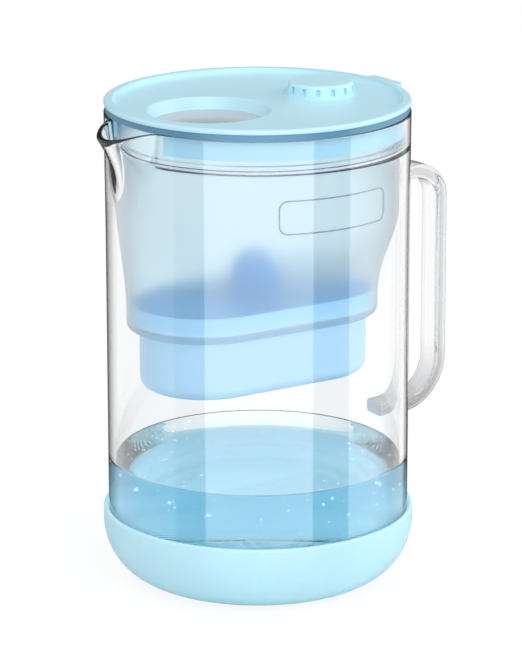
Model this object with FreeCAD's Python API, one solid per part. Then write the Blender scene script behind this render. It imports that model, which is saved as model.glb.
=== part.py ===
import FreeCAD, Part
import math
import os

V = FreeCAD.Vector

# All lengths are in millimetres. The table is at z = 0, the jug's axis is the Z axis,
# the spout points to -X and the handle to +X.

# Glass jug
glass_radius = 75.0
glass_wall = 3.6
glass_floor = 5.0
jug_height = 238.1
corner_width = 27.2
corner_height = 30.2
ledge_width = 1.4
ledge_depth = 16.5

# Drawn spout
spout_reach = 14.5
spout_drop = 5.6
spout_length = 46.0
spout_sink = 0.5
lip_bend = 48.0
spout_half_angle = math.radians(19.0)
spout_round_share = 1.7
spout_flare_share = 1.9
spout_steps = 24
spout_sections = 6

# Silicone sleeve
sleeve_wall = 2.6
sleeve_floor = 3.0
sleeve_height = 36.5
sleeve_fit = 0.05

# Glass handle
strap_width = 14.4
strap_thickness = 7.2
strap_round = 2.4
handle_reach = 36.1
upper_arm_drop = 42.3
lower_arm_height = 73.7
upper_bend = 15.0
lower_bend = 24.0

# Reservoir
tank_gap = 1.7
tank_wall = 2.0
tank_floor = 2.5
tank_straight = 31.0
tank_neck = 50.0
tank_foot = 9.3
tank_foot_round = 3.6
tank_points = 40
tank_sections = 7
tank_foot_steps = 5
flange_gap = 0.4
flange_thickness = 2.4
reservoir_seal_thickness = 1.4
collar_height = 10.6
collar_gap = 0.9

# Filter cartridge
cartridge_radius = 32.2
cartridge_drop = 30.3
cartridge_wall = 1.8
cartridge_round = 6.5
cartridge_offset = 1.9
socket_gap = 0.6
socket_margin = 1.05
seat_width = 3.9
flange_side_gap = 0.7
filter_seal_thickness = 1.4
filter_flange_thickness = 2.0
cap_height = 7.4
hump_radius = 16.0
hump_top_radius = 12.0
hump_height = 21.4
mesh_thickness = 0.8
pad_thickness = 2.0
bed_fit = 0.05
resin_share = 0.42
slot_width = 2.0
slot_length = 9.0
slot_pitch = 6.0
cap_slots = 14
outlet_slots = 8

# Lid
lid_overhang = 0.4
lid_seal_thickness = 2.9
lid_seal_inset = 0.3
lid_rim_width = 4.2
lid_rim_height = 2.8
lid_edge_round = 1.2
lid_dish_depth = 2.9
lid_plate = 2.4
skirt_gap = 0.8
skirt_wall = 1.7
skirt_height = 10.6
tab_width = 24.0
tab_reach = 3.2
tab_thickness = 2.4
tab_round = 1.6

# Fill opening, flap and hinge
fill_margin = 9.8
fill_dial_gap = 15.9
funnel_taper = 3.3
funnel_depth = 5.7
funnel_wall = 1.8
fill_round = 1.2
flap_cover = 1.4
flap_thickness = 1.6
flap_arm_width = 18.0
pin_radius = 1.2
pin_fit = 0.05
knuckle_wall = 1.25
knuckle_gap = 0.8
ear_width = 3.0
ear_gap = 0.4

# Torsion spring on the flap's pin
spring_wire = 0.6
spring_pitch = 1.05
spring_turns = 6
spring_leg = 8.0
spring_pin_gap = 0.7
spring_side_gap = 0.9
leg_gap = 0.05
anchor_length = 3.0

# Turning knob
dial_margin = 11.3
dial_radius = 17.0
dial_top_radius = 16.0
dial_height = 6.5
dial_edge_round = 1.6
dial_wall = 1.8
dial_slots = 14
dial_slot_width = 2.0
dial_slot_depth = 0.8
dial_slot_margin = 1.2
dial_seat_width = 2.5
dial_seat_height = 0.5
stem_radius = 4.0
stem_fit = 0.05
hub_wall = 3.2
boss_wall = 3.0
boss_height = 2.6
dial_seal_width = 2.0
dial_seal_thickness = 1.4
washer_thickness = 0.8
clip_thickness = 0.8
clip_width = 2.6
clip_groove = 1.0
clip_mouth = 4.6
stem_tail = 1.2

# Cutting solids run this far past the faces that they cut
overrun = 5.0

# Radii and levels that follow from the jug
glass_inner = glass_radius - glass_wall
neck_inner = glass_inner + ledge_width
sleeve_radius = glass_radius + sleeve_wall
corner_centre = sleeve_radius - corner_width
ledge_height = jug_height - ledge_depth
spout_foot = jug_height - spout_length
upper_arm_height = jug_height - upper_arm_drop

# Levels of the reservoir, from the ledge that carries it
flange_bottom = ledge_height + reservoir_seal_thickness
flange_top = flange_bottom + flange_thickness
tank_radius = glass_inner - tank_gap
neck_start = flange_bottom - tank_straight
neck_end = neck_start - tank_neck
tank_bottom = neck_end - tank_foot
tank_floor_top = tank_bottom + tank_floor
socket_radius = cartridge_radius + socket_gap
oval_radius = cartridge_radius + seat_width + tank_wall
cartridge_straight = tank_radius - socket_margin - cartridge_offset - oval_radius

# Levels of the cartridge, from the reservoir's floor
cartridge_bottom = tank_bottom - cartridge_drop
filter_flange_bottom = tank_floor_top + filter_seal_thickness
filter_flange_top = filter_flange_bottom + filter_flange_thickness
filter_flange_radius = oval_radius - tank_wall - flange_side_gap
bed_radius = cartridge_radius - cartridge_wall - bed_fit
cap_top = filter_flange_top + cap_height

# Levels of the lid, from the glass rim
lid_radius = glass_radius + lid_overhang
lid_rim_bottom = jug_height + lid_seal_thickness
lid_rim_top = lid_rim_bottom + lid_rim_height
dish_top = lid_rim_top - lid_dish_depth
plate_bottom = dish_top - lid_plate
seal_inner = neck_inner
skirt_radius = neck_inner - skirt_gap
collar_radius = skirt_radius - skirt_wall - collar_gap
throat_height = dish_top - funnel_depth

# Places on the lid's dish: the knob by the handle, and the fill opening in the room that is left
dish_radius = lid_radius - lid_rim_width - lid_dish_depth
dial_seat_radius = dial_radius + dial_seat_width
dial_offset = dish_radius - dial_margin - dial_seat_radius
fill_radius = dish_radius - dial_seat_radius - (fill_margin + fill_dial_gap + dial_margin) / 2
fill_offset = dish_radius - fill_margin - fill_radius
throat_radius = fill_radius - funnel_taper

# The flap's hinge, beside the throat
knuckle_radius = pin_radius + pin_fit + knuckle_wall
pin_x = throat_radius + funnel_wall + knuckle_radius + knuckle_gap - fill_offset
pin_z = throat_height - flap_thickness / 2
ear_start = flap_arm_width / 2 + ear_gap
ear_end = ear_start + ear_width
spring_radius = pin_radius + spring_pin_gap + spring_wire / 2
spring_half_width = spring_turns * spring_pitch / 2
knuckle_start = spring_half_width + spring_wire / 2 + spring_side_gap

# The knob's stack, from the lid's seat ring down
dial_bottom = dish_top + dial_seat_height
dial_top = dial_bottom + dial_height
boss_bottom = plate_bottom - boss_height
washer_bottom = boss_bottom - washer_thickness
clip_bottom = washer_bottom - clip_thickness


def at(x, z):
    return V(x, 0, z)


def line(start, end):
    return Part.LineSegment(start, end).toShape()


def quarter(start, corner, end):
    """A quarter of an ellipse from start to end, with its tangents meeting at corner."""
    curve = Part.BSplineCurve()
    curve.buildFromPolesMultsKnots(
        [start, corner, end], [3, 3], [0, 1], False, 2, [1, math.sqrt(0.5), 1])
    return curve.toShape()


def polyline(points):
    return [line(a, b) for a, b in zip(points, points[1:])]


def turned(edges):
    """The solid that a closed outline in the XZ plane sweeps round the Z axis."""
    return Part.Face(Part.Wire(edges)).revolve(V(0, 0, 0), V(0, 0, 1), 360)


def disc(radius, bottom, top, x=0):
    return Part.makeCylinder(radius, top - bottom, at(x, bottom))


def ring(inner, outer, bottom, top, x=0):
    bore = disc(inner, bottom - overrun, top + overrun, x)
    return disc(outer, bottom, top, x).cut(bore)


def cone(bottom_radius, top_radius, bottom, top, x=0):
    return Part.makeCone(bottom_radius, top_radius, top - bottom, at(x, bottom))


def block(low, high):
    size = high - low
    return Part.makeBox(size.x, size.y, size.z, low)


def bar(radius, y_start, y_end, x, z):
    """A round bar along Y."""
    return Part.makeCylinder(radius, y_end - y_start, V(x, y_start, z), V(0, 1, 0))


def save(name, shape):
    shape.removeSplitter().exportStep("parts/" + name + ".step")


def oval(radius, bottom, top):
    """An upright prism with two straight sides and two half-round ends, under the socket."""
    ends = [V(-cartridge_straight, radius, bottom), V(cartridge_straight, radius, bottom),
            V(cartridge_straight, -radius, bottom), V(-cartridge_straight, -radius, bottom)]
    right = Part.Arc(ends[1], V(cartridge_straight + radius, 0, bottom), ends[2]).toShape()
    left = Part.Arc(ends[3], V(-cartridge_straight - radius, 0, bottom), ends[0]).toShape()
    outline = Part.Wire([line(ends[0], ends[1]), right, line(ends[2], ends[3]), left])
    prism = Part.Face(outline).extrude(V(0, 0, top - bottom))
    prism.translate(V(-cartridge_offset, 0, 0))
    return prism


def oval_ring(inner, outer, bottom, top):
    return oval(outer, bottom, top).cut(oval(inner, bottom - overrun, top + overrun))


def edges_at(shape, height):
    """The closed edges that lie flat at one height."""
    def flat(edge):
        box = edge.BoundBox
        return abs(box.ZMin - height) + abs(box.ZMax - height) < sleeve_fit
    return [edge for edge in shape.Edges if flat(edge)]


# Glass jug


def jug_outline(radius, bottom, top, corner_bottom):
    """Half of an upright bottle outline with an elliptical bottom corner."""
    side = at(radius, corner_height)
    foot = at(corner_centre, corner_bottom)
    return [line(at(0, bottom), foot),
            quarter(foot, at(radius, corner_bottom), side),
            line(side, at(radius, top)),
            line(at(radius, top), at(0, top)),
            line(at(0, top), at(0, bottom))]


def spout_section(radius, depth, height):
    """A closed outline at one height: the swollen front, shut by a straight back."""
    points = []
    for step in range(spout_steps + 1):
        side_share = 2 * step / spout_steps - 1
        turn = side_share * spout_half_angle
        swell = math.cos(math.pi / 2 * side_share) ** spout_round_share
        reach = radius - spout_sink + (depth + spout_sink) * swell
        points.append(V(-reach * math.cos(turn), -reach * math.sin(turn), height))
    front = Part.BSplineCurve()
    front.interpolate(points)
    back = radius * math.cos(spout_half_angle) - glass_wall
    corners = [points[-1], V(-back, points[-1].y, height), V(-back, points[0].y, height), points[0]]
    return Part.Wire([front.toShape()] + polyline(corners))


def spout_depth(height):
    """How far the spout stands out at one height: full reach at the lip's tip, none at its foot."""
    share = (height - spout_foot) / (spout_length - spout_drop)
    return spout_reach * share ** spout_flare_share - spout_sink * (1 - share)


def spout_body(radius, top):
    """The swelling of the spout, which starts inside the wall and leans out past its lip."""
    sections = []
    for step in range(spout_sections + 1):
        height = spout_foot + (top - spout_foot) * step / spout_sections
        sections.append(spout_section(radius, spout_depth(height), height))
    return Part.makeLoft(sections, True, False)


def above_lip():
    """What is cut away above the spout's lip, which dips in a shallow arc towards its tip."""
    start = at(-glass_radius * math.cos(spout_half_angle), jug_height)
    tip = at(-glass_radius - spout_reach, jug_height - spout_drop)
    chord = tip - start
    sag = math.sqrt(lip_bend ** 2 - (chord.Length / 2) ** 2)
    inward = V(-chord.z, 0, chord.x).normalize()
    centre = start + chord / 2 + inward * sag
    below = bar(lip_bend, -glass_radius, glass_radius, centre.x, centre.z)
    low = V(tip.x - spout_reach, -glass_radius / 2, tip.z - spout_drop)
    high = V(start.x, glass_radius / 2, jug_height + overrun)
    return block(low, high).cut(below)


def glass_jug():
    outside = turned(jug_outline(glass_radius, sleeve_floor, jug_height, sleeve_floor))
    inside_floor = sleeve_floor + glass_floor
    inside = turned(jug_outline(glass_inner, inside_floor, jug_height + overrun, inside_floor))
    neck = disc(neck_inner, ledge_height, jug_height + overrun)
    channel = spout_body(glass_inner, jug_height + overrun)
    body = outside.fuse(spout_body(glass_radius, jug_height))
    return body.cut(inside).cut(neck).cut(channel).cut(above_lip())


# Silicone sleeve


def silicone_base():
    """A cup round the jug's bottom, with a rounded top edge."""
    bore = glass_radius + sleeve_fit
    edge_middle = at((bore + sleeve_radius) / 2, sleeve_height)
    edge_start = sleeve_height - (sleeve_radius - bore) / 2
    foot = at(corner_centre, 0)
    side = at(sleeve_radius, corner_height)
    inner_side = at(bore, corner_height)
    inner_foot = at(corner_centre, sleeve_floor)
    return turned([
        line(at(0, 0), foot),
        quarter(foot, at(sleeve_radius, 0), side),
        line(side, at(sleeve_radius, edge_start)),
        quarter(at(sleeve_radius, edge_start), at(sleeve_radius, sleeve_height), edge_middle),
        quarter(edge_middle, at(bore, sleeve_height), at(bore, edge_start)),
        line(at(bore, edge_start), inner_side),
        quarter(inner_side, at(bore, sleeve_floor), inner_foot),
        line(inner_foot, at(0, sleeve_floor)),
        line(at(0, sleeve_floor), at(0, 0))])


# Glass handle


def strap_section(x, z):
    """A rounded rectangle across the strap, where its path starts."""
    half = strap_width / 2
    thick = strap_thickness / 2
    plate = block(V(x - overrun, -half, z - thick), V(x, half, z + thick))
    rounded = plate.makeFillet(strap_round, [e for e in plate.Edges if abs(e.tangentAt(0).x) > 0.9])
    face = max(rounded.Faces, key=lambda f: f.CenterOfMass.x)
    return face.OuterWire


def bend(before, corner, after, radius):
    """The two tangent points and the arc that rounds a square corner."""
    start = corner + (before - corner).normalize() * radius
    end = corner + (after - corner).normalize() * radius
    centre = start + end - corner
    middle = centre + (corner - centre).normalize() * radius
    return start, Part.Arc(start, middle, end).toShape(), end


def glass_handle():
    inside = glass_inner
    outside = glass_radius + handle_reach - strap_thickness / 2
    points = [at(inside, upper_arm_height), at(outside, upper_arm_height),
              at(outside, lower_arm_height), at(inside, lower_arm_height)]
    upper_start, upper_arc, upper_end = bend(points[0], points[1], points[2], upper_bend)
    lower_start, lower_arc, lower_end = bend(points[1], points[2], points[3], lower_bend)
    path = Part.Wire([line(points[0], upper_start), upper_arc, line(upper_end, lower_start),
                      lower_arc, line(lower_end, points[3])])
    strap = path.makePipeShell([strap_section(inside, upper_arm_height)], True, False)
    return strap.cut(disc(glass_radius, 0, jug_height))


# Reservoir


def oval_place(share, radius):
    """The point at a share of the way round the socket's oval, from its +X end."""
    arc = math.pi / 2 * radius
    lap = 4 * arc + 4 * cartridge_straight
    way = (share * lap) % lap
    for start_x, start_angle in ((1, 0), (-1, math.pi / 2), (-1, math.pi), (1, 3 * math.pi / 2)):
        if way <= arc:
            angle = start_angle + way / radius
            return V(start_x * cartridge_straight + radius * math.cos(angle), radius * math.sin(angle), 0)
        way -= arc
        if start_angle in (0, math.pi):
            if way <= 2 * cartridge_straight:
                return V(start_x * (cartridge_straight - way), start_x * radius, 0)
            way -= 2 * cartridge_straight
    return V(cartridge_straight + radius, 0, 0)


def tank_section(oval_share, inset, height):
    """The tank's outline at one height, between a circle and the socket's oval."""
    points = []
    for step in range(tank_points):
        share = step / tank_points
        turn = 2 * math.pi * share
        circle = V(math.cos(turn), math.sin(turn), 0) * (tank_radius - inset)
        end = oval_place(share, oval_radius - inset) - V(cartridge_offset, 0, 0)
        points.append(circle * (1 - oval_share) + end * oval_share + V(0, 0, height))
    curve = Part.BSplineCurve()
    curve.interpolate(points, PeriodicFlag=True)
    return Part.Wire(curve.toShape())


def tank_form(inset, bottom):
    """The round tank that draws in to the oval socket."""
    sections = [tank_section(1, inset, bottom)]
    for step in range(tank_sections + 1):
        share = step / tank_sections
        eased = share * share * (3 - 2 * share)
        sections.append(tank_section(1 - eased, inset, neck_end + tank_neck * share))
    neck = Part.makeLoft(sections, True, False)
    round_end = max(neck.Faces, key=lambda face: face.CenterOfMass.z)
    return neck.fuse(round_end.extrude(V(0, 0, tank_straight)))


def tank_foot_edge():
    """The rounded bottom edge of the tank."""
    sections = []
    for step in range(tank_foot_steps + 1):
        turn = math.pi / 2 * step / tank_foot_steps
        inset = tank_foot_round * (1 - math.sin(turn))
        sections.append(tank_section(1, inset, tank_bottom + tank_foot_round * (1 - math.cos(turn))))
    return Part.makeLoft(sections, True, False)


def reservoir():
    outside = tank_form(0, tank_bottom + tank_foot_round).fuse(tank_foot_edge())
    flange = disc(neck_inner - flange_gap, flange_bottom, flange_top)
    collar = disc(collar_radius, flange_top, flange_top + collar_height)
    inside = tank_form(tank_wall, tank_floor_top)
    mouth = disc(collar_radius - tank_wall, flange_bottom, flange_top + collar_height + overrun)
    socket = oval(socket_radius, tank_bottom - overrun, tank_floor_top + overrun)
    return outside.fuse(flange).fuse(collar).cut(inside).cut(mouth).cut(socket)


def reservoir_seal():
    return ring(tank_radius + sleeve_fit, neck_inner - flange_gap, ledge_height, flange_bottom)


# Filter cartridge


def filter_housing():
    cup = oval(cartridge_radius, cartridge_bottom, filter_flange_top)
    cup = cup.makeFillet(cartridge_round, edges_at(cup, cartridge_bottom))
    flange = oval(filter_flange_radius, filter_flange_bottom, filter_flange_top)
    inside = oval(cartridge_radius - cartridge_wall, cartridge_bottom + cartridge_wall,
                  filter_flange_top + overrun)
    corner = max(cartridge_round - cartridge_wall, cartridge_wall)
    inside = inside.makeFillet(corner, edges_at(inside, cartridge_bottom + cartridge_wall))
    cup = cup.fuse(flange).cut(inside)
    first = -cartridge_offset - slot_pitch * (outlet_slots - 1) / 2
    for number in range(outlet_slots):
        x = first + number * slot_pitch
        cup = cup.cut(block(V(x - slot_width / 2, -slot_length, cartridge_bottom - overrun),
                            V(x + slot_width / 2, slot_length, cartridge_bottom + cartridge_wall)))
    return cup


def filter_layers():
    """The contents of the cup from its floor up, each resting on the one below."""
    floor = cartridge_bottom + cartridge_wall
    beds = filter_flange_top - floor - 2 * mesh_thickness - pad_thickness
    layers = (("outlet_mesh", mesh_thickness), ("resin_bed", beds * resin_share),
              ("fibre_pad", pad_thickness), ("carbon_bed", beds * (1 - resin_share)),
              ("inlet_mesh", mesh_thickness))
    corner = max(cartridge_round - cartridge_wall, cartridge_wall)
    room = oval(bed_radius, floor, filter_flange_top)
    room = room.makeFillet(corner, edges_at(room, floor))
    bottom = floor
    for name, thickness in layers:
        slab = oval(bed_radius + overrun, bottom, bottom + thickness)
        yield name, room.common(slab)
        bottom += thickness


def hump(inset):
    """The bell-shaped middle of the cap."""
    foot = at(hump_radius - inset, cap_top - cartridge_wall)
    shoulder = at(hump_top_radius - inset, cap_top + hump_height / 2)
    crown = at(0, cap_top + hump_height - inset)
    solid = turned([
        quarter(foot, at(shoulder.x, foot.z), shoulder),
        quarter(shoulder, at(shoulder.x, crown.z), crown),
        line(crown, at(0, foot.z)),
        line(at(0, foot.z), foot)])
    solid.translate(V(-cartridge_offset, 0, 0))
    return solid


def filter_cap():
    plate_low = cap_top - cartridge_wall
    cap = oval(filter_flange_radius, filter_flange_top, cap_top).fuse(hump(0))
    room = oval(filter_flange_radius - cartridge_wall, filter_flange_top - overrun, plate_low)
    cap = cap.cut(room).cut(hump(cartridge_wall))
    for number in range(cap_slots):
        slot = block(V(hump_radius + slot_width, -slot_width / 2, plate_low - overrun),
                     V(hump_radius + slot_width + slot_length, slot_width / 2, cap_top + overrun))
        slot.rotate(V(0, 0, 0), V(0, 0, 1), 360 * (number + 0.5) / cap_slots)
        slot.translate(V(-cartridge_offset, 0, 0))
        cap = cap.cut(slot)
    return cap


def filter_seal():
    return oval_ring(socket_radius, filter_flange_radius, tank_floor_top, filter_flange_bottom)


# Lid


def lid_plate_outline():
    """Half of the lid: a flat dish, a raised round rim and the step that holds the seal."""
    lower = at(lid_radius, lid_rim_bottom + lid_edge_round)
    upper = at(lid_radius, lid_rim_top - lid_edge_round)
    upper_end = at(lid_radius - lid_edge_round, lid_rim_top)
    lower_start = at(lid_radius - lid_edge_round, lid_rim_bottom)
    inner_start = at(lid_radius - lid_rim_width, lid_rim_top)
    inner_end = at(dish_radius, dish_top)
    return (polyline([at(0, dish_top), at(0, plate_bottom), at(seal_inner, plate_bottom),
                      at(seal_inner, lid_rim_bottom), lower_start])
            + [quarter(lower_start, at(lid_radius, lid_rim_bottom), lower),
               line(lower, upper),
               quarter(upper, at(lid_radius, lid_rim_top), upper_end),
               line(upper_end, inner_start),
               quarter(inner_start, at(inner_start.x, dish_top), inner_end),
               line(inner_end, at(0, dish_top))])


def thumb_tab():
    half = tab_width / 2
    tab = block(V(lid_radius - lid_rim_width, -half, lid_rim_top - tab_thickness),
                V(lid_radius + tab_reach, half, lid_rim_top))
    corners = [e for e in tab.Edges if abs(e.tangentAt(0).z) > 0.9 and e.CenterOfMass.x > lid_radius]
    return tab.makeFillet(tab_round, corners)


def hinge_ears():
    """Two ears under the lid that hold the flap's pin, and the stop for the spring's free leg."""
    top = plate_bottom + lid_plate / 2
    ears = []
    for start in (ear_start, -ear_end):
        plate = block(V(pin_x - knuckle_radius, start, pin_z),
                      V(pin_x + knuckle_radius, start + ear_width, top))
        ears.append(plate.fuse(bar(knuckle_radius, start, start + ear_width, pin_x, pin_z)))
    leg_end = pin_x + spring_leg
    leg_top = pin_z - spring_radius + spring_wire / 2 + leg_gap
    anchor = block(V(leg_end - anchor_length, 0, leg_top), V(leg_end, knuckle_start, top))
    return ears + [anchor]


def lid_cover():
    lid = turned(lid_plate_outline()).fuse(thumb_tab())
    lid = lid.fuse(cone(throat_radius + funnel_wall, fill_radius + funnel_wall,
                        throat_height, dish_top, -fill_offset))
    for piece in hinge_ears():
        lid = lid.fuse(piece)
    opening = cone(throat_radius, fill_radius, throat_height, dish_top, -fill_offset)
    lid = lid.cut(opening)
    mouth = [e for e in edges_at(lid, dish_top) if abs(e.CenterOfMass.x + fill_offset) < throat_radius / 2]
    lid = lid.makeFillet(fill_round, mouth)
    lid = lid.fuse(disc(stem_radius + boss_wall, boss_bottom, dish_top, dial_offset))
    lid = lid.fuse(cone(dial_seat_radius, dial_radius, dish_top, dial_bottom, dial_offset))
    recess = stem_radius + stem_fit + dial_seal_width
    lid = lid.cut(disc(recess, dial_bottom - dial_seal_thickness, dial_top, dial_offset))
    lid = lid.cut(disc(stem_radius + stem_fit, boss_bottom - overrun, dial_top, dial_offset))
    return lid.cut(bar(pin_radius, -ear_end, ear_end, pin_x, pin_z))


def lid_skirt():
    """A ring that hangs inside the glass, open where the spout is."""
    bottom = plate_bottom - skirt_height
    skirt = ring(skirt_radius - skirt_wall, skirt_radius, bottom, plate_bottom)
    half = skirt_radius * math.sin(spout_half_angle)
    gap = block(V(-glass_radius, -half, bottom - overrun), V(0, half, plate_bottom + overrun))
    return skirt.cut(gap)


def lid_seal():
    return ring(seal_inner, glass_radius - lid_seal_inset, jug_height, lid_rim_bottom)


# Flap, pin and spring


def fill_flap():
    bottom = throat_height - flap_thickness
    half = flap_arm_width / 2
    arm_bottom = pin_z - spring_radius + spring_wire / 2 + leg_gap
    flap = disc(throat_radius + flap_cover, bottom, throat_height, -fill_offset)
    root = pin_x - 2 * knuckle_radius
    far = root - knuckle_radius
    near = pin_x - spring_radius - spring_wire
    flap = flap.fuse(block(V(far, -half, bottom), V(near, half, throat_height)))
    flap = flap.fuse(block(V(far, -half, arm_bottom), V(root, half, bottom)))
    for start in (knuckle_start, -half):
        end = start + half - knuckle_start
        flap = flap.fuse(block(V(root, start, bottom), V(pin_x, end, throat_height)))
        flap = flap.fuse(bar(knuckle_radius, start, end, pin_x, pin_z))
    return flap.cut(bar(pin_radius + pin_fit, -ear_end, ear_end, pin_x, pin_z))


def flap_hinge_pin():
    return bar(pin_radius, -ear_end, ear_end, pin_x, pin_z)


def half_biarc(start, knee, end):
    """One arc of a biarc: it leaves start towards knee and arrives at end from knee."""
    chord = end - start
    middle = start + chord / 2
    rise = knee - middle
    half_chord = chord.Length / 2
    bow = half_chord * math.tan(math.atan2(rise.Length, half_chord) / 2)
    return Part.Arc(start, middle + rise.normalize() * bow, end).toShape()


def biarc(start, start_way, end, end_way):
    """Two arcs that join two points with the given unit tangents."""
    gap = end - start
    both = start_way + end_way
    spread = 2 * (1 - start_way.dot(end_way))
    dot = gap.dot(both)
    reach = (math.sqrt(dot * dot + spread * gap.dot(gap)) - dot) / spread
    knee_start = start + start_way * reach
    knee_end = end - end_way * reach
    meet = (knee_start + knee_end) / 2
    return [half_biarc(start, knee_start, meet), half_biarc(meet, knee_end, end)]


def spring_place(turn):
    """A point of the coil and its direction, after a number of turns."""
    angle = 2 * math.pi * turn - math.pi / 2
    place = V(pin_x + spring_radius * math.cos(angle), spring_pitch * turn - spring_half_width,
              pin_z + spring_radius * math.sin(angle))
    way = V(-2 * math.pi * spring_radius * math.sin(angle), spring_pitch,
            2 * math.pi * spring_radius * math.cos(angle))
    return place, way.normalize()


def spring_gap():
    """The least distance between the coil's neighbouring turns, measured on points."""
    steps = 48
    places = [spring_place(step / steps)[0] for step in range(steps * spring_turns + 1)]
    apart = min(a.distanceToPoint(b) for i, a in enumerate(places) for b in places[i + steps // 2:])
    return apart - spring_wire


def flap_spring():
    """A coil on the pin whose legs press on the flap and on the lid."""
    places = [spring_place(step / 4) for step in range(4 * spring_turns + 1)]
    first, first_way = places[0]
    last, last_way = places[-1]
    edges = [line(first - first_way * spring_leg, first)]
    for (start, start_way), (end, end_way) in zip(places, places[1:]):
        edges += biarc(start, start_way, end, end_way)
    edges.append(line(last, last + last_way * spring_leg))
    print("flap_spring least gap", round(spring_gap(), 3))
    path = Part.Wire(edges)
    start = first - first_way * spring_leg
    section = Part.Wire(Part.makeCircle(spring_wire / 2, start, first_way))
    return path.makePipeShell([section], True, False)


# Turning knob


def dial_knob():
    cap = cone(dial_radius, dial_top_radius, dial_bottom, dial_top, dial_offset)
    cap = cap.makeFillet(dial_edge_round, edges_at(cap, dial_top))
    room = dial_top_radius - dial_slot_depth - dial_wall
    hollow = disc(room, dial_bottom - overrun, dial_top - dial_wall, dial_offset)
    slot_low = dial_bottom + dial_slot_margin + dial_slot_width / 2
    slot_high = dial_top - dial_edge_round - dial_slot_width / 2
    slot_start = dial_top_radius - dial_slot_depth
    cap = cap.cut(hollow)
    for number in range(dial_slots):
        slot = block(V(slot_start, -dial_slot_width / 2, slot_low),
                     V(slot_start + dial_slot_width, dial_slot_width / 2, slot_high))
        for height in (slot_low, slot_high):
            slot = slot.fuse(Part.makeCylinder(dial_slot_width / 2, dial_slot_width,
                                               at(slot_start, height), V(1, 0, 0)))
        slot.rotate(V(0, 0, 0), V(0, 0, 1), 360 * number / dial_slots)
        slot.translate(at(dial_offset, 0))
        cap = cap.cut(slot)
    hub = disc(stem_radius + hub_wall, dial_bottom, dial_top - dial_wall / 2, dial_offset)
    stem = disc(stem_radius, clip_bottom - stem_tail, dial_top - dial_wall / 2, dial_offset)
    groove = ring(stem_radius - clip_groove, stem_radius + overrun, clip_bottom, washer_bottom, dial_offset)
    return cap.fuse(hub).fuse(stem).cut(groove)


def dial_seal():
    inner = stem_radius + stem_fit
    return ring(inner, inner + dial_seal_width, dial_bottom - dial_seal_thickness, dial_bottom, dial_offset)


def dial_washer():
    return ring(stem_radius + stem_fit, stem_radius + boss_wall, washer_bottom, boss_bottom, dial_offset)


def dial_clip():
    inner = stem_radius - clip_groove
    clip = ring(inner, inner + clip_width, clip_bottom, washer_bottom, dial_offset)
    mouth = block(V(dial_offset, -clip_mouth / 2, clip_bottom - overrun),
                  V(dial_offset + inner + clip_width + overrun, clip_mouth / 2, washer_bottom + overrun))
    return clip.cut(mouth)


def main():
    os.makedirs("parts", exist_ok=True)
    makers = (glass_jug, glass_handle, silicone_base, reservoir, reservoir_seal,
              filter_housing, filter_cap, filter_seal, lid_cover, lid_skirt, lid_seal,
              fill_flap, flap_hinge_pin, flap_spring, dial_knob, dial_seal, dial_washer, dial_clip)
    for maker in makers:
        save(maker.__name__, maker())
    for name, layer in filter_layers():
        save(name, layer)


main()
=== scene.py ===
import math

import bmesh
import bpy
import numpy as np
from mathutils import Matrix, Vector


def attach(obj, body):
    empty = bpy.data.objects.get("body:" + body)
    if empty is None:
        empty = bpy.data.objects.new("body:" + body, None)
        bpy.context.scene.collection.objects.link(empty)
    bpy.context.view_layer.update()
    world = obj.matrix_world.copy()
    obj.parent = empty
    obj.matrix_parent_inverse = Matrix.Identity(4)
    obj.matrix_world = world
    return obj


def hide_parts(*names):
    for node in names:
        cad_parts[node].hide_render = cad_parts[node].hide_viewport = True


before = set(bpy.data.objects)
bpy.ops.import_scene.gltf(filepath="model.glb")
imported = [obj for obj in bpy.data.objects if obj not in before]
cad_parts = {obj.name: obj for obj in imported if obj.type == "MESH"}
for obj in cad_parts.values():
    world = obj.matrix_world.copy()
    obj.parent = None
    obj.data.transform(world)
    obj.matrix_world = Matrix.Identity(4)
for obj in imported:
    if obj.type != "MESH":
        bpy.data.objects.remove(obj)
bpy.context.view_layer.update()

scene = bpy.context.scene
scene.view_settings.view_transform = "Standard"
MM = 0.001

# Sizes in millimetres, as in the part's source: radii from the jug's axis, and heights
GLASS = 75.0                          # outside of the jug
WALL = 3.6
INNER = GLASS - WALL
NECK = 72.8                           # inside of the jug above its ledge
LEDGE = 221.6                         # the step that carries the tank
RIM = 238.1
BOTTOM, FLOOR = 3.0, 8.0              # underside and inside of the jug's bottom
FLAT_RADII = (8.0, 24.0, 40.0)        # rows of points across the bottom
CORNER_R, CORNER_Z = 50.4, 30.2       # where the round corner meets the bottom and the side
TANK = 69.7                           # outside of the tank
WATER = 62.6                          # surface of the water
WET_TOP = WATER - 1.0                 # where the water's side and the wet glass end

# The spout: a channel that deepens from its foot to its tip, and a lip that falls along an arc
SPOUT_FOOT, SPOUT_TIP = 175.0, 232.5
SPOUT_START = SPOUT_FOOT - 6.0        # the wall is plain below this
SPOUT_REACH = 14.5
SPOUT_HALF = math.radians(19.0)
SPOUT_GROWTH, SPOUT_ROUND = 3.0, 1.7  # powers of the depth upwards and of the swell across
SPOUT_SINK = 0.12                     # how far the channel's edge lies under the wall
SPOUT_BLEND = (0.12, 1.4)             # width of the blend into the wall at the foot, and its growth
LIP_X, LIP_Z, LIP_R = -66.65, 190.29, 48.0
LIP_BLEND, NECK_BLEND = 0.35, 0.3
RIM_ROUND = 1.05                      # height of the rounded edge of the glass

# Direction to the right of the photograph, in the part's frame
PHOTO_RIGHT = (0.837, -0.548, 0.0)
UP = (0.0, 0.0, 1.0)
WHITE = (1.0, 1.0, 1.0, 1.0)


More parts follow.
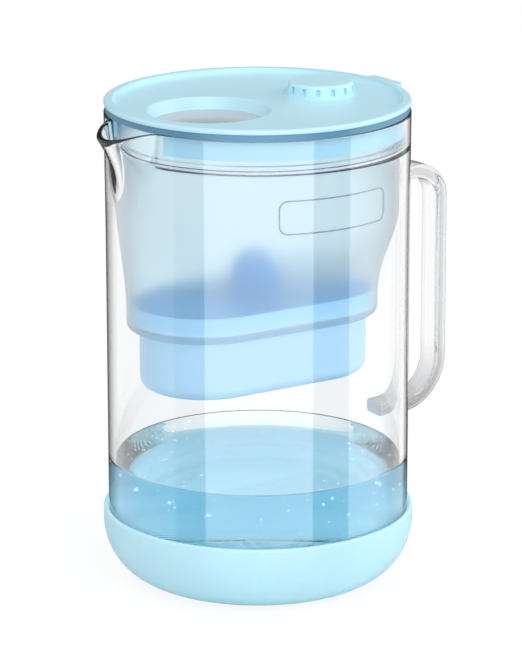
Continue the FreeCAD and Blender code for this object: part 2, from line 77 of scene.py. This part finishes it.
# ---------------------------------------------------------------- mesh helpers
def add_mesh(name, points, faces, body, slot, look):
    mesh = bpy.data.meshes.new(name)
    places = (np.asarray(points, float) * MM).tolist()
    mesh.from_pydata(places, [], [list(map(int, face)) for face in faces])
    shape = bmesh.new()
    shape.from_mesh(mesh)
    bmesh.ops.recalc_face_normals(shape, faces=shape.faces)
    shape.to_mesh(mesh)
    shape.free()
    mesh.polygons.foreach_set("use_smooth", [True] * len(mesh.polygons))
    mesh.materials.append(look)
    piece = bpy.data.objects.new(name, mesh)
    scene.collection.objects.link(piece)
    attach(piece, body)
    return piece


def ring_faces(rows, cols):
    """Quads between rows of points that each close to a ring."""
    i, j = np.meshgrid(np.arange(rows - 1), np.arange(cols), indexing="ij")
    k = (j + 1) % cols
    quads = np.stack([i * cols + j, i * cols + k, (i + 1) * cols + k, (i + 1) * cols + j], -1)
    return quads.reshape(-1, 4).tolist()


def skin(radius, height, angle):
    """Points and faces of a closed skin from rows of radius and height, with both ends capped."""
    rows, cols = radius.shape
    points = np.stack([radius * np.cos(angle), radius * np.sin(angle), height], -1).reshape(-1, 3)
    ends = [[0, 0, height[0].mean()], [0, 0, height[-1].mean()]]
    faces = ring_faces(rows, cols)
    first, last = rows * cols, rows * cols + 1
    for j in range(cols):
        k = (j + 1) % cols
        faces.append([first, k, j])
        faces.append([last, (rows - 1) * cols + j, (rows - 1) * cols + k])
    return np.vstack([points, ends]), faces


def smooth_max(a, b, width):
    """The larger of two values, blended where they differ by less than the width."""
    h = np.clip(0.5 + 0.5 * (a - b) / width, 0, 1)
    return b * (1 - h) + a * h + width * h * (1 - h)


def round_corners(half_wide, half_high, corner, steps):
    """Points around a rectangle with rounded corners, about its middle."""
    points = []
    for side, top, start in ((1, 1, 0), (-1, 1, 90), (-1, -1, 180), (1, -1, 270)):
        for part in np.radians(np.linspace(start, start + 90, steps)):
            points.append((side * (half_wide - corner) + corner * math.cos(part),
                           top * (half_high - corner) + corner * math.sin(part)))
    return points


# ---------------------------------------------------------------- material helpers
def linear(red, green, blue):
    """A socket's colour from screen values of 0 to 255."""
    out = []
    for value in (red, green, blue):
        value /= 255.0
        out.append(value / 12.92 if value <= 0.04045 else ((value + 0.055) / 1.055) ** 2.4)
    return tuple(out) + (1.0,)


def grey(value):
    return (value, value, value, 1.0)


def spread(colour, amount):
    return tuple(min(1.0, c * amount) for c in colour[:3]) + (1.0,)


def material(name):
    made = bpy.data.materials.new(name)
    made.use_nodes = True
    tree = made.node_tree
    return made, tree, tree.nodes["Principled BSDF"]


def set_sockets(node, **sockets):
    for socket, value in sockets.items():
        node.inputs[socket.replace("_", " ")].default_value = value


def object_coordinates(tree):
    return tree.nodes.new("ShaderNodeTexCoord").outputs["Object"]


def noise(tree, scale, detail=3.0, rough=0.5):
    grain = tree.nodes.new("ShaderNodeTexNoise")
    set_sockets(grain, Scale=scale, Detail=detail, Roughness=rough)
    tree.links.new(object_coordinates(tree), grain.inputs["Vector"])
    return grain.outputs["Fac"]


def facing(tree):
    weight = tree.nodes.new("ShaderNodeLayerWeight")
    set_sockets(weight, Blend=0.5)
    return weight.outputs["Facing"]


def ramp(tree, source, stops):
    made = tree.nodes.new("ShaderNodeValToRGB")
    while len(made.color_ramp.elements) < len(stops):
        made.color_ramp.elements.new(0.5)
    for element, (place, colour) in zip(made.color_ramp.elements, stops):
        element.position = place
        element.color = colour
    tree.links.new(source, made.inputs["Fac"])
    return made.outputs["Color"]


def along(tree, output, way, low, high, ends=(0.0, 1.0)):
    """Goes from one end to the other as a coordinate along a way goes from low to high."""
    where = tree.nodes.new("ShaderNodeTexCoord")
    dot = tree.nodes.new("ShaderNodeVectorMath")
    dot.operation = "DOT_PRODUCT"
    dot.inputs[1].default_value = way
    tree.links.new(where.outputs[output], dot.inputs[0])
    level = tree.nodes.new("ShaderNodeMapRange")
    set_sockets(level, From_Min=low, From_Max=high, To_Min=ends[0], To_Max=ends[1])
    tree.links.new(dot.outputs["Value"], level.inputs["Value"])
    return level.outputs["Result"]


def blend(tree, mode, first, second, share=None):
    """Mix of two colours. The node's sockets share their names, so they go by number."""
    share_in, first_in, second_in, colour_out = 0, 6, 7, 2
    mix = tree.nodes.new("ShaderNodeMix")
    mix.data_type = "RGBA"
    mix.blend_type = mode
    mix.inputs[share_in].default_value = 1.0
    if share is not None:
        tree.links.new(share, mix.inputs[share_in])
    tree.links.new(first, mix.inputs[first_in])
    tree.links.new(second, mix.inputs[second_in])
    return mix.outputs[colour_out]


def bump(tree, bsdf, source, strength, distance):
    made = tree.nodes.new("ShaderNodeBump")
    set_sockets(made, Strength=strength, Distance=distance)
    tree.links.new(source, made.inputs["Height"])
    tree.links.new(made.outputs["Normal"], bsdf.inputs["Normal"])


# ---------------------------------------------------------------- materials
def moulded(name, colour, rough, vary=0.02, grain=900.0, depth=0.00004, **sockets):
    """Moulded plastic or rubber: a little colour drift, uneven gloss and a fine moulded grain."""
    made, tree, bsdf = material(name)
    uneven = 0.05
    tint = ramp(tree, noise(tree, scale=22.0, detail=2.0),
                [(0.3, spread(colour, 1 - vary)), (0.7, spread(colour, 1 + vary))])
    tree.links.new(tint, bsdf.inputs["Base Color"])
    fine = noise(tree, scale=grain, detail=4.0, rough=0.6)
    gloss = ramp(tree, fine, [(0.25, grey(rough - uneven)), (0.75, grey(rough + uneven))])
    tree.links.new(gloss, bsdf.inputs["Roughness"])
    bump(tree, bsdf, fine, strength=0.25, distance=depth)
    set_sockets(bsdf, **sockets)
    return made


def glass_material(name, stops, right=None, painted_reflections=()):
    """Clear glass with painted dark reflections that darken it to its edges, other painted dark
    edges at its right, and painted reflections in places.
    """
    made, tree, bsdf = material(name)
    # Painted dark reflections: the colour darkens towards the edges, in another way at the right,
    # and in the given places.
    painted_dark_edge = facing(tree)

    def tones(source, pairs):
        green, blue = 1.004, 1.009
        return ramp(tree, source, [(p, (v, v * green, v * blue, 1)) for p, v in pairs])

    colour = tones(painted_dark_edge, stops)
    if right:
        side = along(tree, "Object", PHOTO_RIGHT, -0.02, 0.03)
        colour = blend(tree, "MIX", colour, tones(painted_dark_edge, right), side)
    for output, way, low, high, pairs in painted_reflections:
        colour = blend(tree, "MULTIPLY", colour, tones(along(tree, output, way, low, high), pairs))
    tree.links.new(colour, bsdf.inputs["Base Color"])
    set_sockets(bsdf, Roughness=0.0, IOR=1.47, Transmission_Weight=1.0)
    bump(tree, bsdf, noise(tree, scale=14.0, detail=1.0), strength=0.02, distance=0.0006)
    return made


def ledge_material():
    """The narrow step in the glass that carries the tank, which is all but unseen."""
    made, tree, bsdf = material("jug_glass_ledge")
    tree.nodes.remove(bsdf)
    clear = tree.nodes.new("ShaderNodeBsdfTransparent")
    tint = ramp(tree, noise(tree, scale=60.0),
                [(0.3, (0.93, 0.94, 0.95, 1)), (0.7, (0.97, 0.975, 0.98, 1))])
    tree.links.new(tint, clear.inputs["Color"])
    tree.links.new(clear.outputs[0], tree.nodes["Material Output"].inputs["Surface"])
    return made


def water_material():
    """Pale blue water, with a lower index than real water's so that its far side stays bright."""
    made, tree, bsdf = material("water")
    set_sockets(bsdf, Base_Color=WHITE, Roughness=0.0, IOR=1.24, Transmission_Weight=1.0)
    bump(tree, bsdf, noise(tree, scale=30.0, detail=1.0), strength=0.05, distance=0.0008)
    soak = tree.nodes.new("ShaderNodeVolumeAbsorption")
    set_sockets(soak, Color=(0.10, 0.80, 0.97, 1), Density=5.0)
    tree.links.new(soak.outputs["Volume"], tree.nodes["Material Output"].inputs["Volume"])
    return made


def bubble_material():
    made, tree, bsdf = material("air_bubbles")
    # Painted highlight: the bubbles' rims glow white, though they are no lamp.
    painted_rim_glow = ramp(tree, facing(tree), [(0.25, grey(0.0)), (0.55, (0.9, 0.95, 1.0, 1))])
    tree.links.new(painted_rim_glow, bsdf.inputs["Emission Color"])
    set_sockets(bsdf, Emission_Strength=0.9, Base_Color=WHITE, Roughness=0.0, IOR=1.02,
                Transmission_Weight=1.0)
    bump(tree, bsdf, noise(tree, scale=40.0, detail=1.0), strength=0.02, distance=0.0001)
    return made


def frosted_material():
    """Frosted plastic of the tank, with painted shade that darkens it to its edges, and glossier on
    its flange.
    """
    made, tree, bsdf = material("frosted_tank")
    tint = ramp(tree, noise(tree, scale=26.0, detail=2.0),
                [(0.3, (0.80, 0.935, 0.985, 1)), (0.7, (0.84, 0.955, 0.99, 1))])
    # Painted shade: the colour darkens towards the tank's edges.
    painted_dark_edge = ramp(tree, facing(tree), [(0.5, WHITE), (0.85, (0.80, 0.80, 0.81, 1))])
    tree.links.new(blend(tree, "MULTIPLY", tint, painted_dark_edge), bsdf.inputs["Base Color"])
    flange_low, flange_high, body_rough, flange_rough = 0.2226, 0.2229, 0.40, 0.20
    rough = along(tree, "Object", UP, flange_low, flange_high, (body_rough, flange_rough))
    tree.links.new(rough, bsdf.inputs["Roughness"])
    bump(tree, bsdf, noise(tree, scale=1400.0, detail=3.0), strength=0.15, distance=0.00003)
    set_sockets(bsdf, IOR=1.16, Transmission_Weight=0.95)
    return made


def cap_material():
    """The cartridge's cap: a pale side, with painted shade that turns its top and hump deeper blue.
    """
    made, tree, bsdf = material("cartridge_cap")
    cap_low, cap_high = 0.1385, 0.1674
    # Painted shade: the colour turns deeper blue above the cap's pale side, on its top and hump
    # under the lid.
    tint = ramp(tree, along(tree, "Object", UP, cap_low, cap_high), [
        (0.0, linear(160, 212, 246)), (0.24, linear(150, 206, 244)), (0.265, linear(6, 142, 206)),
        (0.6, linear(34, 146, 218)), (1.0, linear(60, 160, 226))])
    tree.links.new(tint, bsdf.inputs["Base Color"])
    set_sockets(bsdf, Roughness=0.36)
    bump(tree, bsdf, noise(tree, scale=900.0, detail=4.0), strength=0.25, distance=0.00004)
    return made


def grains(name, dark, light, scale):
    made, tree, bsdf = material(name)
    cells = tree.nodes.new("ShaderNodeTexVoronoi")
    set_sockets(cells, Scale=scale)
    tree.links.new(object_coordinates(tree), cells.inputs["Vector"])
    tint = ramp(tree, cells.outputs["Distance"], [(0.1, light), (0.7, dark)])
    tree.links.new(tint, bsdf.inputs["Base Color"])
    set_sockets(bsdf, Roughness=0.7)
    bump(tree, bsdf, cells.outputs["Distance"], strength=0.8, distance=0.0006)
    return made


def woven(name, colour, scale):
    made, tree, bsdf = material(name)
    both = tree.nodes.new("ShaderNodeMath")
    both.operation = "MAXIMUM"
    for axis, socket in zip("XY", both.inputs):
        wave = tree.nodes.new("ShaderNodeTexWave")
        wave.bands_direction = axis
        set_sockets(wave, Scale=scale)
        tree.links.new(object_coordinates(tree), wave.inputs["Vector"])
        tree.links.new(wave.outputs["Fac"], socket)
    tint = ramp(tree, both.outputs[0], [(0.2, spread(colour, 0.6)), (0.8, colour)])
    tree.links.new(tint, bsdf.inputs["Base Color"])
    set_sockets(bsdf, Roughness=0.8)
    bump(tree, bsdf, both.outputs[0], strength=0.6, distance=0.0003)
    return made


def steel_material():
    made, tree, bsdf = material("drawn_steel")
    fine = noise(tree, scale=600.0, detail=4.0)
    tint = ramp(tree, fine, [(0.3, (0.58, 0.59, 0.61, 1)), (0.7, (0.70, 0.71, 0.73, 1))])
    tree.links.new(tint, bsdf.inputs["Base Color"])
    set_sockets(bsdf, Metallic=1.0, Roughness=0.3)
    bump(tree, bsdf, fine, strength=0.2, distance=0.00003)
    return made


# Glass: pairs of how far the surface turns away and how bright the glass is there. The darkening to
# the edges, darkest on the rim, is painted dark reflections of the surroundings.
JUG_GLASS = glass_material(
    "jug_glass", [(0.0, 0.972), (0.68, 0.972), (0.80, 0.52), (0.89, 0.07)],
    right=[(0.0, 0.972), (0.79, 0.972), (0.84, 0.5), (0.88, 0.04)])
INNER_GLASS = glass_material("jug_glass_inside", [(0.0, 0.972), (0.89, 0.93)])
WET_GLASS = glass_material("jug_glass_wet", [(0.0, 0.985), (0.82, 0.98), (0.89, 0.6)])
RIM_GLASS = glass_material("jug_glass_rim", [(0.0, 0.42), (0.89, 0.1)])
LEDGE_GLASS = ledge_material()
SPOUT_GLASS = glass_material("jug_glass_spout", [(0.0, 0.972), (0.68, 0.96), (0.89, 0.5)])
# The handle's glass has painted dark reflections on its side at -Y, and at its lower bend
HANDLE_GLASS = glass_material(
    "handle_glass", [(0.0, 0.95), (0.68, 0.95), (0.80, 0.55), (0.89, 0.1)],
    painted_reflections=[("Normal", (0.0, -1.0, 0.0), 0.0, 1.0, [(0.5, 1.0), (0.95, 0.76)]),
           ("Object", UP, 0.068, 0.104, [(0.0, 0.5), (1.0, 1.0)])])
END_GLASS = moulded("handle_end_glass", linear(222, 226, 234), rough=0.3, vary=0.08, grain=300.0,
                    depth=0.0003, Transmission_Weight=0.3)
looks = {
    # The silicone has a faint painted glow that brightens it, though it is no lamp.
    "silicone_base": moulded("silicone", linear(184, 229, 243), rough=0.52, vary=0.015,
                             grain=1500.0, Subsurface_Weight=0.7, Subsurface_Scale=0.006,
                             Emission_Color=linear(150, 214, 240), Emission_Strength=0.03),
    "lid_cover": moulded("lid_plastic", linear(186, 226, 240), rough=0.42),
    "lid_skirt": moulded("skirt_plastic", linear(158, 214, 240), rough=0.35),
    # The seal band's dark steel blue is partly its own colour and partly painted shade from the
    # lid's overhang.
    "lid_seal": moulded("seal_band", linear(78, 130, 162), rough=0.4),
    "dial_knob": moulded("knob_plastic", linear(190, 232, 244), rough=0.38),
    "fill_flap": moulded("flap_plastic", linear(182, 187, 193), rough=0.16),
    "reservoir": frosted_material(),
    "reservoir_seal": moulded("clear_seal", linear(200, 214, 228), rough=0.35),
    "filter_housing": moulded("cartridge_plastic", linear(168, 214, 246), rough=0.34),
    "filter_cap": cap_material(),
    "filter_seal": moulded("cartridge_seal", linear(136, 170, 204), rough=0.45),
    "inlet_mesh": woven("inlet_weave", linear(228, 232, 236), scale=250.0),
    "outlet_mesh": woven("outlet_weave", linear(228, 232, 236), scale=250.0),
    "carbon_bed": grains("carbon_grains", (0.01, 0.01, 0.012, 1), (0.05, 0.05, 0.055, 1),
                         scale=900.0),
    "resin_bed": grains("resin_beads", linear(150, 120, 70), linear(224, 200, 140), scale=1100.0),
    "fibre_pad": woven("fibre_felt", linear(238, 238, 232), scale=90.0),
    "flap_hinge_pin": steel_material(),
    "flap_spring": steel_material(),
    "dial_clip": steel_material(),
    "dial_seal": moulded("dial_ring", linear(196, 206, 214), rough=0.5),
    "dial_washer": moulded("washer_plastic", linear(226, 230, 234), rough=0.3),
}
for node, look in looks.items():
    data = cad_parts[node].data
    data.materials.clear()
    data.materials.append(look)


# ---------------------------------------------------------------- glass jug with its spout
def lip_height(x):
    """Height of the glass rim at x: level, and falling along an arc at the spout."""
    arc = LIP_Z + np.sqrt(np.clip(LIP_R ** 2 - (x - LIP_X) ** 2, 1.0, None))
    return np.where(x > LIP_X, RIM, -smooth_max(-RIM + 0 * x, -arc, LIP_BLEND))


def jug_radius(base, turn, z):
    """Radius of the glass with its spout, drawn out towards the lip."""
    share = np.clip((z - SPOUT_FOOT) / (SPOUT_TIP - SPOUT_FOOT), 0, None)
    deep = SPOUT_REACH * share ** SPOUT_GROWTH - SPOUT_SINK * (1 - share)
    swell = np.cos(np.pi / 2 * np.clip(np.abs(turn) / SPOUT_HALF, 0, 1)) ** SPOUT_ROUND
    channel = base - SPOUT_SINK + (deep + SPOUT_SINK) * swell
    return smooth_max(base + 0 * turn, channel, SPOUT_BLEND[0] + SPOUT_BLEND[1] * share)


def neck_radius(turn, z):
    """Radius of the glass's inside above its ledge."""
    return smooth_max(NECK + 0 * turn, jug_radius(INNER, turn, z), NECK_BLEND)


def corner_line(radius, bottom, steps):
    """Radii and heights along the round corner between the jug's bottom and its side."""
    return [(CORNER_R + (radius - CORNER_R) * math.sin(part),
             CORNER_Z - (CORNER_Z - bottom) * math.cos(part))
            for part in np.linspace(0, np.pi / 2, steps)]


def make_jug():
    """The jug's skin, the rows of its rim and its ledge, and how many points a row has."""
    wide = math.radians(25.0)       # columns lie closer together this far to each side of the spout
    turn = np.concatenate([np.linspace(-wide, wide, 91)[:-1],
                           np.linspace(wide, 2 * np.pi - wide, 181)[:-1]])
    near = np.where(turn > np.pi, turn - 2 * np.pi, turn)
    angle = turn + np.pi
    corner_steps, side_steps = 22, 14
    rows_r, rows_z = [], []

    def row(radius, height):
        rows_r.append(np.broadcast_to(radius, turn.shape))
        rows_z.append(np.broadcast_to(height, turn.shape))

    # Up the outside
    for radius in FLAT_RADII:
        row(radius, BOTTOM)
    for radius, height in corner_line(GLASS, BOTTOM, corner_steps):
        row(radius, height)
    for height in np.linspace(CORNER_Z, SPOUT_START, side_steps)[1:]:
        row(GLASS, height)
    # The lip's height depends on how far the glass reaches there, and that on the height
    top_out, top_in = np.full(turn.shape, RIM), np.full(turn.shape, RIM)
    for _ in range(12):
        top_out = lip_height(jug_radius(GLASS, near, top_out) * np.cos(angle))
        top_in = lip_height(neck_radius(near, top_in) * np.cos(angle))
    for share in np.linspace(0, 1, 34)[1:]:
        height = SPOUT_START + share * (top_out - RIM_ROUND - SPOUT_START)
        row(jug_radius(GLASS, near, height), height)
    # Over the rounded rim
    rim = len(rows_r)
    rim_out = jug_radius(GLASS, near, top_out - RIM_ROUND)
    rim_in = neck_radius(near, top_in - RIM_ROUND)
    for part in np.linspace(0, np.pi, 13)[1:-1]:
        mix = (1 - math.cos(part)) / 2
        row(rim_out + (rim_in - rim_out) * mix,
            (top_out * (1 - mix) + top_in * mix) - RIM_ROUND + RIM_ROUND * math.sin(part) ** 0.8)
    # Down the inside
    for share in np.linspace(1, 0, 20):
        height = LEDGE + share * (top_in - RIM_ROUND - LEDGE)
        row(neck_radius(near, height), height)
    ledge = len(rows_r) - 1
    ledge_fall = 0.3
    for height in np.linspace(LEDGE - ledge_fall, SPOUT_START, 30):
        row(jug_radius(INNER, near, height + 0 * near), height)
    for height in np.linspace(SPOUT_START, CORNER_Z, side_steps)[1:]:
        row(INNER, height)
    for radius, height in corner_line(INNER, FLOOR, corner_steps)[-2::-1]:
        row(radius, height)
    for radius in FLAT_RADII[::-1]:
        row(radius, FLOOR)
    return skin(np.array(rows_r), np.array(rows_z), angle), rim, ledge, len(turn)


def jug_look(face, rim, ledge, around):
    """The glass of one face of the jug, by its row and place."""
    rim_rows, spout_low, spout_x = 9, 0.196, -0.069
    line = face.index // around
    if line == ledge:
        return LEDGE_GLASS
    if line > rim + rim_rows:
        return INNER_GLASS
    if line > rim:
        return RIM_GLASS
    if face.center.z > spout_low and face.center.x < spout_x:
        return SPOUT_GLASS
    if face.center.z < WET_TOP * MM:
        return WET_GLASS
    return JUG_GLASS


jug_shape, *jug_rows = make_jug()
jug = add_mesh("jug_glass", *jug_shape, "jug", "glass", JUG_GLASS)
jug_looks = [JUG_GLASS, INNER_GLASS, RIM_GLASS, SPOUT_GLASS, WET_GLASS, LEDGE_GLASS]
for look in jug_looks[1:]:
    jug.data.materials.append(look)
for face in jug.data.polygons:
    face.material_index = jug_looks.index(jug_look(face, *jug_rows))
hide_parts("glass_jug")


# ---------------------------------------------------------------- glass handle
def make_handle():
    """A rounded strap along a path of (x, z), each with the angle of the strap's outer face."""
    root, high, low, out = 75.2, 195.8, 73.7, 107.5
    up_bend, low_bend = 15.0, 24.0
    half_y, half_n, corner = 7.2, 3.6, 2.4
    end_gap = 0.05                  # between the strap's ends and the jug's wall
    path = [(x, high, np.pi / 2) for x in np.linspace(root, out - up_bend, 5)[:-1]]
    for part in np.linspace(np.pi / 2, 0, 17):
        path.append((out - up_bend + up_bend * math.cos(part),
                     high - up_bend + up_bend * math.sin(part), part))
    path += [(out, z, 0.0) for z in np.linspace(high - up_bend, low + low_bend, 8)[1:-1]]
    for part in np.linspace(0, -np.pi / 2, 21):
        path.append((out - low_bend + low_bend * math.cos(part),
                     low + low_bend + low_bend * math.sin(part), part))
    path += [(x, low, -np.pi / 2) for x in np.linspace(out - low_bend, root, 4)[1:]]
    section = round_corners(half_y, half_n, corner, 7)
    cols, rows = len(section), len(path)
    points = []
    for index, (x, z, part) in enumerate(path):
        for y, n in section:
            place = [x + n * math.cos(part), y, z + n * math.sin(part)]
            if index in (0, rows - 1):
                place[0] = math.sqrt((GLASS + end_gap) ** 2 - y ** 2)
            points.append(place)
    faces = ring_faces(rows, cols)
    faces.append(list(range(cols)))
    faces.append([(rows - 1) * cols + j for j in range(cols)])
    return points, faces


handle = add_mesh("handle_glass", *make_handle(), "jug", "glass", HANDLE_GLASS)
handle.data.materials.append(END_GLASS)
for face in list(handle.data.polygons)[-2:]:
    face.material_index = 1
handle.data.set_sharp_from_angle(angle=math.radians(50))
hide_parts("glass_handle")


# ---------------------------------------------------------------- water and its bubbles
def make_water():
    """Water a little into the glass, so that no gap shows, and drawn up at the wall."""
    sunk, drawn_up, drawn_in, steep = 0.3, 0.4, 4.2, 3.2
    angle = np.linspace(0, 2 * np.pi, 181)[:-1]
    line = [(radius, FLOOR - sunk) for radius in FLAT_RADII]
    line += corner_line(INNER + sunk, FLOOR - sunk, 20)
    line += [(INNER + sunk, z) for z in np.linspace(CORNER_Z, WET_TOP, 6)[1:]]
    least = math.exp(-steep)
    for part in np.linspace(0, 1, 9):
        rise = math.exp(-steep * part)
        line.append((INNER - drawn_in * part, WATER + drawn_up * (rise - least) / (1 - least)))
    line += [(radius, WATER) for radius in (60.0, 48.0, 34.0, 20.0, 8.0)]
    line = np.array(line)
    shape = (len(line), len(angle))
    return skin(np.broadcast_to(line[:, :1], shape), np.broadcast_to(line[:, 1:], shape), angle)


def make_bubbles():
    """Small air bubbles, most of them near the water's surface and by the glass."""
    count, smallest, growth, clear, spread_in, spread_down = 150, 0.24, 0.5, 0.5, 26.0, 24.0
    chance = np.random.default_rng(11)
    ball = bmesh.new()
    bmesh.ops.create_icosphere(ball, subdivisions=2, radius=1.0)
    ball.verts.ensure_lookup_table()
    shape = np.array([v.co for v in ball.verts])
    links = np.array([[v.index for v in f.verts] for f in ball.faces])
    ball.free()
    points, faces = [], []
    for number in range(count):
        size = smallest + growth * chance.random() ** 2.5
        out = INNER - size - clear - spread_in * chance.random() ** 2
        turn = 2 * np.pi * chance.random()
        height = WATER - size - clear - spread_down * chance.random() ** 1.6
        centre = np.array([out * np.cos(turn), out * np.sin(turn), height])
        faces.append(links + number * len(shape))
        points.append(shape * size + centre)
    return np.vstack(points), np.vstack(faces)


water = add_mesh("water_fill", *make_water(), "jug", "glass", water_material())
bubbles = add_mesh("water_bubbles", *make_bubbles(), "jug", "glass", bubble_material())


# ---------------------------------------------------------------- bare badge outline on the tank
def make_badge():
    """A round ridge along a rectangle with rounded corners, laid around the tank's wall."""
    low, high, half, corner = 191.8, 208.0, 30.2, 4.2
    ridge_half, ridge_high, ridge_lift, ridge_sides = 0.36, 0.45, 0.05, 10
    longest = 2.0                   # between points along the line
    line = round_corners(half, (high - low) / 2, corner, 9)
    line = [(x, z + (high + low) / 2) for x, z in line]
    dense = []
    for (a, c), (b, d) in zip(line, line[1:] + line[:1]):
        steps = max(1, int(math.hypot(b - a, d - c) / longest))
        for step in range(steps):
            dense.append((a + (b - a) * step / steps, c + (d - c) * step / steps))
    dense = np.array(dense)
    ahead = np.roll(dense, -1, 0) - np.roll(dense, 1, 0)
    ahead /= np.linalg.norm(ahead, axis=1)[:, None]
    side = np.stack([ahead[:, 1], -ahead[:, 0]], 1)
    points = []
    for part in np.linspace(0, 2 * np.pi, ridge_sides + 1)[:-1]:
        flat = dense + side * ridge_half * math.cos(part)
        radius = TANK + ridge_lift + ridge_high * math.sin(part)
        angle = -np.pi / 2 + flat[:, 0] / TANK
        points.append(np.stack([radius * np.cos(angle), radius * np.sin(angle), flat[:, 1]], 1))
    points = np.vstack(points)
    faces = ring_faces(ridge_sides + 1, len(dense))
    return points, [[i % len(points) for i in face] for face in faces]


# The ridge's grey is painted shade along the embossed line.
add_mesh("badge_outline", *make_badge(), "tank", "tank",
         moulded("badge_ridge", linear(128, 146, 160), rough=0.25))


# ---------------------------------------------------------------- floor, light and camera
def math_node(tree, kind, first, second):
    made = tree.nodes.new("ShaderNodeMath")
    made.operation = kind
    for socket, value in zip(made.inputs, (first, second)):
        if isinstance(value, (int, float)):
            socket.default_value = value
        else:
            tree.links.new(value, socket)
    return made.outputs[0]


def seen_rays(tree, path):
    """1 for what the camera sees, also through glass, and 0 for light on the object."""
    return math_node(tree, "MAXIMUM", path.outputs["Is Camera Ray"],
                     path.outputs["Is Transmission Ray"])


def floor_material():
    """A pale floor that shows as white, with a part of the shadow on it."""
    made, tree, bsdf = material("studio_floor")
    tree.nodes.remove(bsdf)
    path = tree.nodes.new("ShaderNodeLightPath")
    share = math_node(tree, "MULTIPLY", seen_rays(tree, path), 0.85)
    plain = tree.nodes.new("ShaderNodeBsdfDiffuse")
    set_sockets(plain, Color=grey(0.9))
    glow = tree.nodes.new("ShaderNodeEmission")
    set_sockets(glow, Color=WHITE, Strength=1.03)
    mix = tree.nodes.new("ShaderNodeMixShader")
    for source, socket in zip((share, plain.outputs[0], glow.outputs[0]), mix.inputs):
        tree.links.new(source, socket)
    tree.links.new(mix.outputs[0], tree.nodes["Material Output"].inputs["Surface"])
    return made


def make_world():
    """A white background, even light, and upright cards that only reflections show."""
    world = bpy.data.worlds.new("studio")
    world.use_nodes = True
    scene.world = world
    tree = world.node_tree
    card_strength, even_strength = 4.0, 0.78
    # Pairs of a share of the way around and the brightness of the card there
    cards = [(0.0, 0.27), (0.065, 0.27), (0.08, 0.03), (0.25, 0.03), (0.29, 0.27),
             (0.4740, 0.27), (0.4790, 0.02), (0.5440, 0.02), (0.5475, 1.0),
             (0.7740, 1.0), (0.7775, 0.02), (0.8590, 0.02), (0.8620, 0.85),
             (0.93, 0.75), (1.0, 0.27)]
    where = tree.nodes.new("ShaderNodeTexCoord")
    parts = tree.nodes.new("ShaderNodeSeparateXYZ")
    tree.links.new(where.outputs["Generated"], parts.inputs[0])
    turn = math_node(tree, "ARCTAN2", parts.outputs["Y"], parts.outputs["X"])
    turns = math_node(tree, "MULTIPLY", turn, 1 / (2 * math.pi))
    share = math_node(tree, "FRACT", math_node(tree, "ADD", turns, 1.0), 0.0)
    card = ramp(tree, share, [(place, grey(value)) for place, value in cards])
    path = tree.nodes.new("ShaderNodeLightPath")
    glossy = path.outputs["Is Glossy Ray"]
    seen = seen_rays(tree, path)
    shiny = math_node(tree, "MULTIPLY", math_node(tree, "MULTIPLY", card, card_strength), glossy)
    plain = math_node(tree, "MULTIPLY", math_node(tree, "SUBTRACT", 1.0, glossy), even_strength)
    other = math_node(tree, "MULTIPLY", math_node(tree, "ADD", shiny, plain),
                      math_node(tree, "SUBTRACT", 1.0, seen))
    back = tree.nodes["Background"]
    tree.links.new(math_node(tree, "ADD", other, seen), back.inputs["Strength"])
    set_sockets(back, Color=WHITE)


def lamp(name, place, size, power):
    """A round lamp that lights the object and isn't seen itself."""
    aim = Vector((0, 0, 0.12))
    light = bpy.data.lights.new(name, "AREA")
    light.shape = "DISK"
    light.size = size
    light.energy = power
    made = bpy.data.objects.new(name, light)
    made.location = place
    made.rotation_euler = (aim - Vector(place)).to_track_quat("-Z", "Y").to_euler()
    made.visible_camera = False
    made.visible_glossy = False
    made.visible_transmission = False
    scene.collection.objects.link(made)


def make_ground():
    half, drop = 8, 0.0004
    corners = [(x * half, y * half, -drop) for x, y in ((-1, -1), (1, -1), (1, 1), (-1, 1))]
    mesh = bpy.data.meshes.new("studio_floor")
    mesh.from_pydata(corners, [], [(0, 1, 2, 3)])
    mesh.materials.append(floor_material())
    ground = bpy.data.objects.new("studio_floor", mesh)
    ground.visible_glossy = False
    scene.collection.objects.link(ground)
    return ground


ground = make_ground()
make_world()
lamp("key_light", (-0.6, -2.1, 2.2), size=2.2, power=34.0)
lamp("side_light", (2.3, -1.0, 1.3), size=1.6, power=12.0)

# Clear pieces let the lamps' light through
for piece in (jug, handle, water, bubbles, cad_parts["reservoir"]):
    piece.visible_shadow = False
    piece.visible_diffuse = False

# The camera that was fitted to the photograph: metres, and angles in radians
far, above, pitch, yaw, roll = 1.79234, 0.62478, 0.2707111, 0.00089048, -0.00102188
turned = math.radians(33.2)
forward = Vector((math.sin(yaw) * math.cos(pitch), math.cos(yaw) * math.cos(pitch),
                  -math.sin(pitch)))
right = Vector((math.cos(yaw), -math.sin(yaw), 0.0))
up = right.cross(forward)
right, up = (math.cos(roll) * right + math.sin(roll) * up,
             -math.sin(roll) * right + math.cos(roll) * up)
axes = Matrix((right, up, -forward)).transposed().to_4x4()
view = bpy.data.cameras.new("view")
view.lens = 206.304
view.clip_end = 30.0
camera = bpy.data.objects.new("view", view)
spin = Matrix.Rotation(-turned, 4, "Z")
camera.matrix_world = spin @ Matrix.Translation((0.0, -far, above)) @ axes
scene.collection.objects.link(camera)
scene.camera = camera
